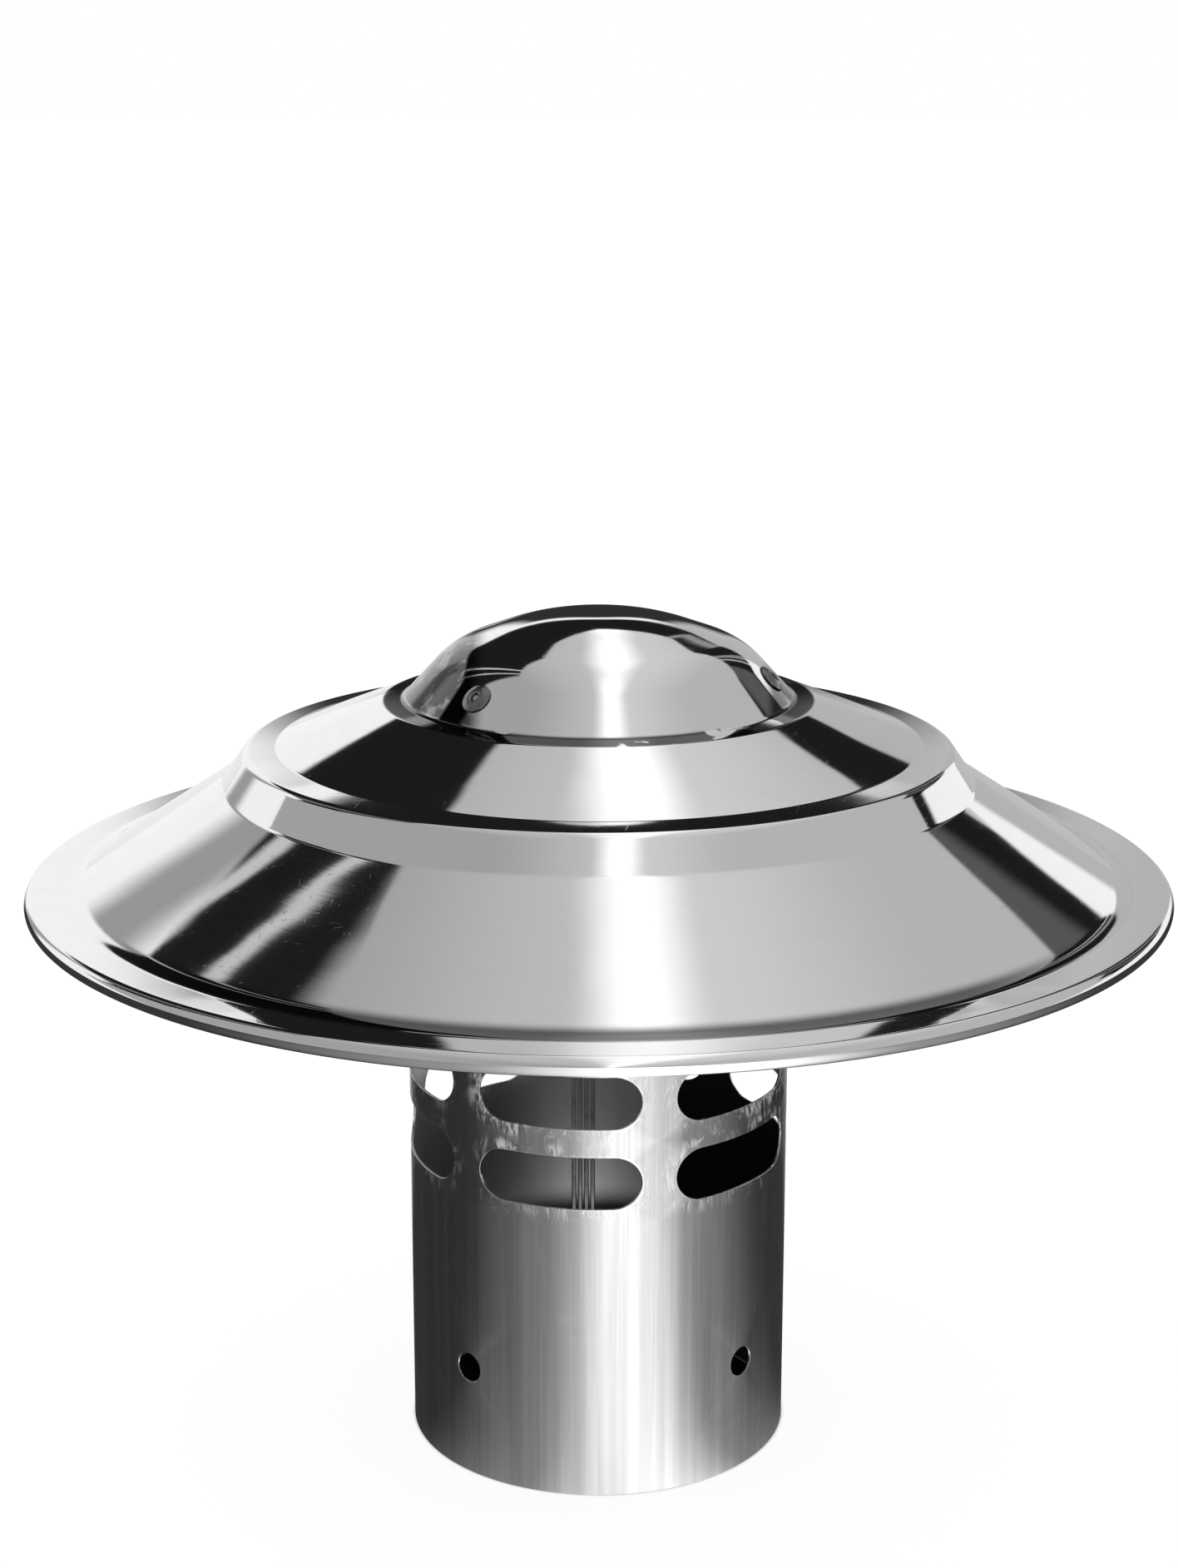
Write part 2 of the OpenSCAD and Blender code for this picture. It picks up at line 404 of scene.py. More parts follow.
def polished_steel(finish, hood):
    """Spun and buffed stainless sheet: near mirror, slightly wavy, with faint rings, wipes and scratches,
    and with painted shade and dark reflections in the crease, on the crown's sides and at the skirt's foot.
    """
    made, s = material("polished_spun_steel")
    place, x, y, z = s.place()
    right, front = as_seen(x, y)
    radius = (x * x + y * y).sqrt()
    ring = s.vector(radius, z)
    lathe = s.noise(ring, 900, 3, 0.6, dimensions="2D")
    fine_rings = s.noise(ring, 3200, 1, dimensions="2D")
    waves = s.noise(place, 26, 1.5, 0.45)
    dimples = s.noise(place, 48, 1, 0.4)
    cloud = s.noise(place, 14, 4, 0.62)
    smear = s.noise(s.vector(x * 60, y * 60, z * 240), 1.0, 3, 0.6, 0.8)
    wipes = cloud.rise(0.50, 0.74) * smear.rise(0.42, 0.7)
    hairs = s.noise(s.vector(x * 1500 + z * 240, y * 110, z * 900), 1.0, 1, 0.5)
    more_hairs = s.noise(s.vector(x * 90, y * 1400 + z * 300, z * 1100), 1.0, 1, 0.5)
    scratches = (hairs.rise(0.70, 0.76) + more_hairs.rise(0.70, 0.76)).at_most(1)
    colour = rgba(finish.polished)
    for share, tone in (
        (wipes, 0.93),
        (lathe.rise(0.3, 0.8) * 0.12, 0.84),
        # The next three darken the colour as painted shade and dark reflections: in the crown's crease, on
        # its sides and at the skirt's foot
        (crease_painted_shade(s, hood, place, radius, z), 0.05),
        (crown_sides_painted_reflection(s, hood, place, right, z), 0.06),
        (skirt_foot_painted_reflection(hood, radius, front), 0.1),
    ):
        colour = s.mix(share, colour, rgba(finish.polished, tone))
    rough = wipes * 0.06 + scratches * 0.05 + cloud * 0.02 + finish.polished_rough
    normal = None
    for height, depth in (
        (waves, 0.20),
        (dimples, 0.07),
        (lathe, 0.0008),
        (fine_rings, 0.0002),
        (scratches, 0.0006),
    ):
        normal = s.bump(height, depth * MM, normal)
    s.finish(Base_Color=colour, Metallic=1.0, Roughness=rough, Normal=normal)
    return made


def slot_distance(s, sleeve, x, y, z):
    """Distance from the nearest slot's edge, in metres, negative inside the slot."""
    step = 2 * math.pi / sleeve.columns
    outside = sleeve.bore_r + sleeve.sheet
    turn = s.degrees(y, x) / math.degrees(step)
    offset = (turn - turn.floor() - 0.5) * step
    across = abs(offset.sin() * outside)
    straight = outside * math.sin(sleeve.slot_angle / 2) - sleeve.slot_h / 2
    row = ((z - (sleeve.slot_z - (sleeve.slot_pitch - sleeve.slot_h) / 2)) / sleeve.slot_pitch).floor()
    row = row.at_least(0).at_most(sleeve.rows - 1)
    up = z - sleeve.slot_z - sleeve.slot_h / 2 - row * sleeve.slot_pitch
    beyond = (across - straight).at_least(0)
    return (beyond * beyond + up * up).sqrt() - sleeve.slot_h / 2


def inside_painted_shade(right, z):
    """Painted shade inside the sleeve: near black on its right, and low down all round."""
    return right.rise(12 * MM, 24 * MM).at_least(z.rise(46 * MM, 38 * MM)) * 0.97


def matt_scuffs(sleeve, scuffed, right, z):
    """How matt the scuffs are: those above the lowest slots, fading out to the left."""
    low_slots = sleeve.slot_z + sleeve.slot_h
    above = z.rise(low_slots - 1 * MM, low_slots + 1 * MM)
    return scuffed * above * right.rise(-38 * MM, -28 * MM) * 0.75


def mill_steel(finish, sleeve):
    """Cold-rolled sheet: upright grain, mottled wear, bright burrs and scuffs at the punched slots. Inside,
    it is painted lighter as painted light, and near black as painted shade on its right and low down.
    """
    made, s = material("mill_stainless")
    place, x, y, z = s.place()
    right, _ = as_seen(x, y)
    radius = (x * x + y * y).sqrt()
    grain = s.noise(s.vector(x * 1500, y * 1500, z * 14), 1.0, 3, 0.65)
    streaks = s.noise(s.vector(x * 260, y * 260, z * 5), 1.0, 3, 0.6)
    broad = s.noise(s.vector(x * 60, y * 60, z * 9), 1.0, 2, 0.5)
    mottle = s.noise(place, 120, 4, 0.6, 0.6)
    cloud = s.noise(place, 30, 3, 0.55)
    scuff_lines = s.noise(s.vector(x * 420, y * 420, z * 120), 1.0, 3, 0.7, 1.2)
    near = slot_distance(s, sleeve, x, y, z)
    burr = near.rise(0.9 * MM, 0.1 * MM)
    scuffed = near.rise(5 * MM, 1 * MM) * mottle.rise(0.42, 0.56) * scuff_lines.rise(0.42, 0.62)
    patches = cloud.rise(0.52, 0.7) * mottle.rise(0.4, 0.7)
    inside = radius.rise(sleeve.bore_r + 0.5 * sleeve.sheet, sleeve.bore_r + 0.2 * sleeve.sheet)
    scuffed_outside = scuffed * (1 - inside)
    colour = rgba(finish.mill, 0.86)
    for share, tone in (
        (streaks.rise(0.35, 0.7), 1.1),
        (grain.rise(0.5, 0.8) * 0.35, 0.66),
        (patches * 0.2, 1.2),
        (scuffed_outside * 0.8, 1.5),
        (burr * 0.5, 1.35),
        # Painted light: the inside is made lighter than the outside of the same sheet
        (inside * 0.8, 1.3),
        # Painted shade: the inside goes near black on its right and low down
        (inside * inside_painted_shade(right, z), 0.01),
    ):
        colour = s.mix(share, colour, rgba(finish.mill, tone))
    rough = (
        (grain - 0.5) * 0.12
        + (broad - 0.5) * 0.10
        + patches * 0.05
        + scuffed * 0.2
        + inside * 0.12
        + finish.mill_rough
    )
    rough = (rough - burr * 0.08).at_least(0.12)
    normal = None
    for height, depth in ((broad, 0.05), (streaks, 0.012), (grain, 0.0035), (scuffed, 0.03)):
        normal = s.bump(height, depth * MM, normal)
    metallic = 1 - matt_scuffs(sleeve, scuffed_outside, right, z)
    s.finish(Base_Color=colour, Metallic=metallic, Roughness=rough, Normal=normal)
    return made


def seam_steel(finish):
    """Edges of the folded seam: heat-tinted, pressed flat by the seaming roll."""
    made, s = material("folded_seam_steel")
    place, x, y, z = s.place()
    ripple = s.noise(s.vector(x * 150, y * 150, z * 420), 1.0, 3, 0.6)
    tint = s.noise(place, 160, 3, 0.6)
    colour = s.mix(tint.rise(0.35, 0.7), rgba(finish.weld), rgba(finish.weld, 0.6))
    rough = ripple * 0.2 + tint * 0.12 + 0.22
    normal = s.bump(ripple, 0.05 * MM)
    normal = s.bump(tint, 0.02 * MM, normal)
    s.finish(Base_Color=colour, Metallic=1.0, Roughness=rough, Normal=normal)
    return made


def rivet_steel(name, colour, rough_base, pits):
    """Cold-headed steel: satin, with pits of a given depth, rubbed where the setting tool pressed."""
    made, s = material(name)
    place, *_ = s.place()
    speckle = s.noise(place, 1600, 3, 0.65)
    rub = s.noise(place, 420, 2, 0.5)
    tone = s.mix(speckle.rise(0.4, 0.7), rgba(colour), rgba(colour, 0.72))
    tone = s.mix(rub.rise(0.5, 0.75) * 0.6, tone, rgba(colour, 1.2))
    rough = speckle * 0.18 + rough_base - rub * 0.1
    normal = s.bump(speckle, pits)
    normal = s.bump(rub, 0.02 * MM, normal)
    s.finish(Base_Color=tone, Metallic=1.0, Roughness=rough, Normal=normal)
    return made


def corner_arc(before, corner, after, radius):
    """Points of the arc that rounds a corner between two stretches."""
    u = (before - corner).normalized()
    v = (after - corner).normalized()
    inside = u.angle(v)
    turn = math.pi - inside
    reach = radius / math.tan(inside / 2)
    centre = corner + (u + v).normalized() * radius / math.sin(inside / 2)
    start = corner + u * reach - centre
    side = 1 if u.x * v.y - u.y * v.x > 0 else -1
    steps = max(2, math.ceil(turn / ARC_STEP), math.ceil(turn * radius / ARC_LENGTH))
    turns = [Matrix.Rotation(-side * turn * i / steps, 2) for i in range(steps + 1)]
    return [centre + matrix @ start for matrix in turns]


def rounded_line(corners):
    """A line through the corners (r, z, rounding), with an arc at each rounded one."""
    line = []
    for i, (r, z, rounding) in enumerate(corners):
        if rounding and 0 < i < len(corners) - 1:
            before, after = (Vector(corners[k][:2]) for k in (i - 1, i + 1))
            line += corner_arc(before, Vector((r, z)), after, rounding)
        else:
            line.append(Vector((r, z)))
    return line


def stepped(line):
    """The line with each long stretch cut into even steps and a short one at either end."""
    out = [line[0]]
    for a, b in zip(line, line[1:]):
        length = (b - a).length
        if length > LONG_STEP:
            count = math.ceil((length - 2 * END_STEP) / LONG_STEP)
            shares = [END_STEP / length + (1 - 2 * END_STEP / length) * i / count for i in range(count + 1)]
            out += [a.lerp(b, share) for share in shares]
        out.append(b)
    return out


def beside(line, distance):
    """The line moved sideways, to its left where distance is positive."""
    out = []
    for i, point in enumerate(line):
        came = (point - line[i - 1]).normalized() if i else None
        goes = (line[i + 1] - point).normalized() if i < len(line) - 1 else None
        ways = [way for way in (came, goes) if way is not None]
        heading = sum(ways, Vector((0, 0))).normalized()
        left = Vector((-heading.y, heading.x))
        out.append(point + left * distance / heading.dot(ways[-1]))
    return out


def chain(bm, points, closed=False):
    """A line of vertices and edges in the XZ plane, from points (r, z)."""
    verts = [bm.verts.new((p[0], 0, p[1])) for p in points]
    pairs = list(zip(verts, verts[1:]))
    if closed:
        pairs.append((verts[-1], verts[0]))
    return verts, [bm.edges.new(pair) for pair in pairs]


def turned(bm, steps):
    """Spins all that the mesh holds round Z and closes it, poles included."""
    bmesh.ops.spin(
        bm,
        geom=bm.verts[:] + bm.edges[:],
        cent=(0, 0, 0),
        axis=(0, 0, 1),
        angle=2 * math.pi,
        steps=steps,
        use_merge=True,
    )
    bmesh.ops.remove_doubles(bm, verts=bm.verts[:], dist=0.0005 * MM)
    bmesh.ops.recalc_face_normals(bm, faces=bm.faces[:])


def new_piece(name, bm, finish):
    """A finished mesh as an object that rides on the part's body."""
    mesh = bpy.data.meshes.new(name)
    for face in bm.faces:
        face.smooth = True
    for edge in bm.edges:
        edge.smooth = not (edge.is_manifold and edge.calc_face_angle() > SHARP)
    bm.to_mesh(mesh)
    bm.free()
    mesh.materials.append(finish)
    piece = bpy.data.objects.new(name, mesh)
    bpy.context.scene.collection.objects.link(piece)
    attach(piece, BODY)
    return piece


def hood_line(hood):
    """The middle of the hood's sheet from the crown's top out to the end of the rolled rim."""
    curl_r = (hood.rim_d - hood.sheet) / 2
    reach = min(HOOD_BOX[1].x, HOOD_BOX[1].y, -HOOD_BOX[0].x, -HOOD_BOX[0].y) - RIM_INSET
    curl_centre = reach - hood.rim_d / 2
    corners = [
        (0, hood.top_z, 0),
        (hood.top_r, hood.top_z, hood.top_round),
        (hood.edge_r, hood.edge_z, hood.edge_round),
        (hood.crown_r, hood.crown_z, hood.crown_round),
        (hood.ledge_r, hood.ledge_z, hood.ledge_round),
        (hood.band_r, hood.band_z, hood.band_round),
        (hood.shoulder_r, hood.shoulder_z, hood.shoulder_round),
        (hood.collar_r, hood.collar_z, hood.collar_round),
        (hood.skirt_r, curl_r, hood.skirt_round),
        (curl_centre, curl_r, 0),
    ]
    curl_steps = 38
    curl_step = math.radians(285) / curl_steps
    turns = [math.pi / 2 - curl_step * i for i in range(1, curl_steps + 1)]
    curl = [Vector((curl_centre + curl_r * math.cos(a), curl_r * math.sin(a))) for a in turns]
    return stepped(rounded_line(corners)) + curl


def spun_hood(hood, finish):
    """The hood: one sheet spun from the crown to the rim, which is rolled under."""
    bm = bmesh.new()
    line = hood_line(hood)
    outer = beside(line, hood.sheet / 2)
    inner = beside(line, -hood.sheet / 2)
    lift = Vector((0, hood.rim_z))
    profile = [point + lift for point in outer + inner[::-1]]
    for end in (profile[0], profile[-1]):
        end.x = 0
    chain(bm, profile)
    turned(bm, HOOD_STEPS)
    fade_width = 12 * MM
    for vert in bm.verts:
        out = math.hypot(vert.co.x, vert.co.y)
        fade = min(1, max(0, (hood.skirt_r - out) / fade_width))
        wander = noise.noise(vert.co * 22) + 0.5 * noise.noise(vert.co * 47 + Vector((3, 1, 2)))
        vert.co.z += hood.unevenness * fade * (wander - 1)
    return new_piece("spun_hood", bm, polished_steel(finish, hood))


def cell_border(left, right, low, high, columns, rows):
    """Points round a cell's border, counter-clockwise from its lower left corner."""
    wide = [left + (right - left) * i / columns for i in range(columns + 1)]
    tall = [low + (high - low) * i / rows for i in range(rows + 1)]
    return (
        [(x, low) for x in wide[:-1]]
        + [(right, y) for y in tall[:-1]]
        + [(x, high) for x in wide[:0:-1]]
        + [(left, y) for y in tall[:0:-1]]
    )


def loop(bm, points):
    """A closed loop of vertices and edges in the XY plane."""
    verts = [bm.verts.new((x, y, 0)) for x, y in points]
    return [bm.edges.new(pair) for pair in zip(verts, verts[1:] + verts[:1])]


def pierced_cell(bm, centre, half, low, high, columns, rows, radius, straight, hole_r, level):
    """A cell of the flat blank with a round-ended opening. X is the angle, Y the height."""
    border = cell_border(centre - half, centre + half, low, high, columns, rows)
    opening = []
    for angle, height in border:
        point = Vector((radius * math.sin(angle - centre), height - level))
        core = Vector((max(-straight, min(straight, point.x)), 0))
        x, y = core + (point - core).normalized() * hole_r
        opening.append((centre + math.asin(x / radius), y + level))
    edges = loop(bm, border) + loop(bm, opening)
    bmesh.ops.bridge_loops(bm, edges=edges)


def plain_cell(bm, left, right, low, high, columns, rows):
    """A cell of the flat blank without an opening."""
    place = Matrix.Translation(((left + right) / 2, (low + high) / 2, 0))
    size = Matrix.Diagonal((right - left, high - low, 1, 1))
    bmesh.ops.create_grid(bm, x_segments=columns, y_segments=rows, size=0.5, matrix=place @ size)


def along(line, distance):
    """The point at a distance along a line, which goes on straight past its end."""
    for a, b in zip(line, line[1:]):
        length = (b - a).length
        if distance <= length or b is line[-1]:
            return a.lerp(b, distance / length)
        distance -= length


def line_length(line):
    """How long a line is."""
    return sum((b - a).length for a, b in zip(line, line[1:]))


def flank(hood):
    """The crown's flank: a point on it, its direction downhill and its outward normal."""
    top = Vector((hood.edge_r, hood.edge_z))
    down = (Vector((hood.crown_r, hood.crown_z)) - top).normalized()
    return top, down, Vector((-down.y, down.x))


def on_flank(hood, r):
    """The point of the flank's middle line at a radius."""
    top, down, _ = flank(hood)
    return top + down * (r - top.x) / down.x


def sleeve_line(hood, sleeve, rivets):
    """The middle of the sleeve's sheet from its foot up and in along a tab."""
    _, down, out = flank(hood)
    middle = sleeve.bore_r + sleeve.sheet / 2
    lift = Vector((0, hood.rim_z))
    under = lift - out * sleeve.sheet
    tip = on_flank(hood, rivets.radius) + under - down * rivets.tab_end
    root = on_flank(hood, middle + out.x * sleeve.sheet) + under
    return rounded_line([(middle, 0, 0), (middle, root.y, rivets.tab_bend), (tip.x, tip.y, 0)])


def slotted_blank(bm, sleeve):
    """The flat blank: plain foot with its screw holes, rows of slots, and plain top."""
    turn = 2 * math.pi
    step = turn / SLEEVE_STEPS
    outside = sleeve.bore_r + sleeve.sheet
    pitch_gap = (sleeve.slot_pitch - sleeve.slot_h) / 2
    slots_low = sleeve.slot_z - pitch_gap
    slots_high = slots_low + sleeve.rows * sleeve.slot_pitch
    hole_margin = 15 * MM
    hole_low, hole_high = sleeve.hole_z - hole_margin, sleeve.hole_z + hole_margin
    # Each plain stretch of the blank, and the rows of faces in it
    for low, high, rows in (
        (0, hole_low, 2),
        (hole_high, slots_low, 4),
        (slots_high, sleeve.height, 5),
    ):
        plain_cell(bm, 0, turn, low, high, SLEEVE_STEPS, rows)
    pierced_rows = 10
    cells_per_hole = 3
    hole_cell = turn / (sleeve.holes * cells_per_hole)
    columns = round(hole_cell / step)
    for i in range(sleeve.holes * cells_per_hole):
        centre = i * hole_cell
        half = hole_cell / 2
        if i % cells_per_hole == cells_per_hole - 1:
            pierced_cell(
                bm, centre, half, hole_low, hole_high, columns, pierced_rows,
                outside, 0, sleeve.hole_d / 2, sleeve.hole_z,
            )
        else:
            plain_cell(bm, centre - half, centre + half, hole_low, hole_high, columns, pierced_rows)
    slot_cell = turn / sleeve.columns
    straight = outside * math.sin(sleeve.slot_angle / 2) - sleeve.slot_h / 2
    for row in range(sleeve.rows):
        low = slots_low + row * sleeve.slot_pitch
        level = sleeve.slot_z + row * sleeve.slot_pitch + sleeve.slot_h / 2
        for column in range(sleeve.columns):
            pierced_cell(
                bm, (column + 0.5) * slot_cell, slot_cell / 2, low, low + sleeve.slot_pitch,
                round(slot_cell / step), pierced_rows, outside, straight, sleeve.slot_h / 2, level,
            )


def tab_blanks(bm, sleeve, rivets, line):
    """The tabs, which stand on the blank's upper edge until they are bent in."""
    columns, plain_rows, pierced_rows = 12, 14, 6
    half = rivets.tab_angle / 2
    hole_r = rivets.shank_d / 2 + RIVET_PLAY
    end = line_length(line)
    hole = end - rivets.tab_end
    cell_low = hole - rivets.tab_end
    for i in range(rivets.count):
        centre = rivets.phase + i * 2 * math.pi / rivets.count
        plain_cell(bm, centre - half, centre + half, sleeve.height, cell_low, columns, plain_rows)
        pierced_cell(
            bm, centre, half, cell_low, end, columns, pierced_rows, rivets.radius, 0, hole_r, hole
        )


def rolled_sleeve(hood, sleeve, rivets, finish):
    """The sleeve: a punched blank, rolled round, with its tabs turned in under the crown."""
    bm = bmesh.new()
    line = sleeve_line(hood, sleeve, rivets)
    slotted_blank(bm, sleeve)
    tab_blanks(bm, sleeve, rivets, line)
    for vert in bm.verts:
        angle, height, _ = vert.co
        r, z = along(line, height)
        vert.co = (r * math.cos(angle), r * math.sin(angle), z)
    bmesh.ops.remove_doubles(bm, verts=bm.verts[:], dist=0.002 * MM)
    bmesh.ops.recalc_face_normals(bm, faces=bm.faces[:])
    piece = new_piece("slotted_sleeve", bm, mill_steel(finish, sleeve))
    wall = piece.modifiers.new("wall", "SOLIDIFY")
    wall.thickness = sleeve.sheet
    wall.offset = 0
    wall.use_even_offset = True
    edge = piece.modifiers.new("punched edge", "BEVEL")
    edge.width = 0.14 * MM
    edge.segments = 2
    edge.limit_method = "ANGLE"
    edge.angle_limit = CUT_EDGE
    edge.harden_normals = True
    return piece


def folded_seam(sleeve, finish):
    """The sleeve's seam: pressed folds side by side, broken where the slots cross them."""
    bm = bmesh.new()
    proud = 0.4 * MM
    split = 0.5 * MM
    clear = 0.25 * MM
    rounding = 0.25 * MM
    folds = 4
    fold_w = (sleeve.seam_w - split * (folds - 1)) / folds
    levels = [(clear, sleeve.slot_z - clear)]
    for row in range(sleeve.rows):
        low = sleeve.slot_z + row * sleeve.slot_pitch + sleeve.slot_h
        high = low + sleeve.slot_pitch - sleeve.slot_h if row < sleeve.rows - 1 else sleeve.height
        levels.append((low + clear, high - clear))
    middle = sleeve.bore_r + sleeve.sheet / 2
    thick = sleeve.sheet + 2 * proud
    for low, high in levels:
        for fold in range(folds):
            across = (fold - (folds - 1) / 2) * (fold_w + split)
            place = Matrix.Translation((middle, across, (low + high) / 2))
            size = Matrix.Diagonal((thick, fold_w, high - low, 1))
            bmesh.ops.create_cube(bm, size=1, matrix=place @ size)
    bmesh.ops.subdivide_edges(
        bm, edges=[e for e in bm.edges if e.calc_length() > 30 * MM], cuts=8, use_grid_fill=True
    )
    corners = [e for e in bm.edges if e.calc_face_angle() > CUT_EDGE]
    bmesh.ops.bevel(
        bm, geom=corners, offset=rounding, affect="EDGES", segments=4, profile=0.5, material=-1
    )
    bmesh.ops.rotate(
        bm, verts=bm.verts[:], cent=(0, 0, 0), matrix=Matrix.Rotation(sleeve.seam_angle, 3, "Z")
    )
    return new_piece("folded_seam", bm, seam_steel(finish))


def rivet_place(hood, rivets, number):
    """Where a rivet goes: its axis square to the crown's flank."""
    _, _, out = flank(hood)
    point = on_flank(hood, rivets.radius)
    turn = Matrix.Rotation(rivets.phase + number * 2 * math.pi / rivets.count, 4, "Z")
    place = Matrix.Translation((point.x, 0, point.y + hood.rim_z))
    tilt = Matrix.Rotation(math.atan2(out.x, out.y), 4, "Y")
    return turn @ place @ tilt


def grip_end(hood):
    """Where the upset bulb starts, below the tab. Heights on a rivet start in the hood's sheet."""
    return -1.5 * hood.sheet - BULB_GAP


def blind_end(hood, rivets):
    """Where the rivet's body ends inside the cap."""
    return grip_end(hood) - rivets.bulb_h


def rivet_body(hood, rivets, number, finish):
    """A rivet's body: low domed head with a rolled lip, hollow shank, and the upset bulb."""
    bm = bmesh.new()
    seat = hood.sheet / 2
    grip = grip_end(hood)
    low = blind_end(hood, rivets)
    hole = rivets.stem_d / 2 + RIVET_PLAY
    head = rivets.head_d / 2
    top = seat + rivets.head_h
    corners = [
        (hole, (seat + low) / 2, 0),
        (hole, low, 0.2 * MM),
        (rivets.shank_d / 2, low, 0.15 * MM),
        (rivets.bulb_d / 2, low + 0.3 * rivets.bulb_h, 0.9 * MM),
        (rivets.bulb_d / 2, grip - 0.2 * rivets.bulb_h, 0.6 * MM),
        (rivets.shank_d / 2 + 0.4 * MM, grip, 0),
        (rivets.shank_d / 2, grip, 0),
        (rivets.shank_d / 2, seat, 0),
        (head, seat, 0.12 * MM),
        (head, seat + 0.35 * MM, 0.25 * MM),
        (0.62 * head, top - 0.12 * MM, 1.6 * MM),
        (0.40 * head, top, 0.2 * MM),
        (hole, top - 0.25 * MM, 0.1 * MM),
        (hole, (seat + low) / 2, 0),
    ]
    chain(bm, rounded_line(corners)[:-1], closed=True)
    turned(bm, RIVET_STEPS)
    bmesh.ops.transform(bm, verts=bm.verts[:], matrix=rivet_place(hood, rivets, number))
    return new_piece(f"blind_rivet_{number + 1}", bm, finish)


def broken_mandrel(hood, rivets, number, finish):
    """A mandrel: the stem, torn off inside the head, and the head that closed the blind end."""
    bm = bmesh.new()
    stem = rivets.stem_d / 2
    cap = 2.0 * MM
    cap_h = 1.6 * MM
    low = blind_end(hood, rivets)
    seat = low - 0.02 * MM
    torn = hood.sheet / 2 + 0.7 * MM
    tear_depth = 0.12 * MM
    tear_scale = 1900
    corners = [
        (0, low - cap_h, 0),
        (0.7 * cap, low - cap_h, 0.5 * MM),
        (cap, low - 0.5 * cap_h, 0.4 * MM),
        (cap, seat, 0.15 * MM),
        (stem, seat, 0.05 * MM),
        (stem, torn - 0.35 * MM, 0.1 * MM),
        (0.72 * stem, torn - 0.1 * MM, 0.1 * MM),
        (0.35 * stem, torn - 0.18 * MM, 0.1 * MM),
        (0, torn - 0.05 * MM, 0),
    ]
    chain(bm, rounded_line(corners))
    turned(bm, RIVET_STEPS)
    tear_from = torn - 0.4 * MM
    for vert in bm.verts:
        if vert.co.z > tear_from:
            ragged = noise.noise(vert.co * tear_scale + Vector((number, 0, 0)))
            vert.co.z -= tear_depth * (1 + ragged)
    bmesh.ops.transform(bm, verts=bm.verts[:], matrix=rivet_place(hood, rivets, number))
    return new_piece(f"mandrel_{number + 1}", bm, finish)


def key_light(off_middle):
    """Brightness of the soft key light round the horizon, by the degrees from its middle."""
    away = abs(off_middle)
    return away.rise(38, 0) * 1.3 + away.rise(95, 15) * 0.36 + 0.04


def studio_frame(s, vector, stage):
    """A direction's parts towards the camera, to its right and up."""
    turned_to_camera = s.node(
        "VectorRotate",
        {"rotation_type": "Z_AXIS"},
        {"Vector": vector, "Angle": math.radians(90) - stage.azimuth},
    )
    towards = s.node("SeparateXYZ", sockets={"Vector": turned_to_camera})
    return towards, towards.other("Y"), towards.other("Z")


def overhead_panel(ahead, right):
    """The large soft panel overhead, on a ceiling one unit up: 1 inside its outline, 0 outside."""
    # Each edge is a straight line on the ceiling: how far ahead it lies, by how far to the right
    back = -1.40
    left = ((right + 0.5) * 0.1).at_most((right + 0.5) * -2.14) - 0.33
    left = left.at_most((right + 1.2) * 0.9 - 0.40)
    right_end = ((right - 0.54) * 0.33 - 1.39).at_most((right - 1.9).at_least(0) * -0.9 - 1.05)
    outline = left.at_least(right_end).at_least(back)
    return (ahead - outline).rise(-0.04, 0.04)


def panel_light(ahead, right):
    """Brightness of the overhead panel: dimmer to the left, with a soft uneven lamp behind it."""
    lamp_middle = ahead * 0.03 + 0.083
    off_lamp = abs(right - lamp_middle)
    glow = off_lamp.rise(0.7, 0)
    core = off_lamp.rise(0.15, 0) * ((ahead * 8 + 0.5).sin() * 0.15 + 0.85)
    return right.rise(-0.1, 0.2) * 0.12 + glow * 0.2 + core * 0.75 + 0.40


def dark_wall(from_back):
    """Brightness of the dark walls, with slits of light, by the degrees from straight behind."""
    light = from_back.between(36, 39, 48, 52) * 0.09
    for degrees, width, strength in SLITS:
        slit = abs(from_back - degrees).rise(width, 0.3 * width)
        light = light.at_least(slit * strength)
    return light + 0.012


def studio_light(s, ahead, right, up):
    """What polished metal shows: pale backdrop low down, dark walls, and a soft panel overhead."""
    height = up.at_least(0.02)
    ceiling_ahead = ahead / height
    ceiling_right = right / height
    panel = overhead_panel(ceiling_ahead, ceiling_right)
    bright = panel_light(ceiling_ahead, ceiling_right)
    from_back = s.degrees(right, -ahead)
    leftward = -right / (ahead * ahead + right * right).sqrt().at_least(0.001)
    # The pale backdrop reaches higher at the left and less high at the right
    low_edge = (
        leftward.rise(0.2, 0.7) * leftward.rise(0.92, 0.82) * 0.16
        - (-leftward).rise(0.2, 0.5) * 0.08
        + 0.37
    )
    low = (up - low_edge).rise(0.012, -0.012)
    # In it are a shade, a dim streak, and a dark place straight behind
    shade = from_back.between(5, 12, 25, 27)
    streak = abs(from_back + 37).rise(8, 2)
    behind = abs(from_back).rise(11, 7) * up.rise(0.33, 0.31)
    low_light = (1 - shade * 0.5) * (1 - streak * 0.65) * (1 - behind * 0.97)
    wall = dark_wall(from_back)
    room = wall + (low_light - wall) * low
    return room + (bright - room) * panel


def white_world(stage):
    """White for the camera, even and pale for matt things, and the studio for polished metal."""
    world = bpy.data.worlds.new("studio")
    world.use_nodes = True
    world.cycles.sampling_method = "NONE"
    s = Shader(world.node_tree)
    direction = s.node("TexCoord", output="Generated")
    ahead, right, up = studio_frame(s, direction, stage)
    studio = studio_light(s, ahead, right, up)
    glossy = s.node("LightPath", output="Is Glossy Ray")
    light = glossy * studio + (1 - glossy)
    background = s.node("Background", sockets={"Color": light, "Strength": stage.backdrop})
    s.node("OutputWorld", sockets={"Surface": background})
    bpy.context.scene.world = world


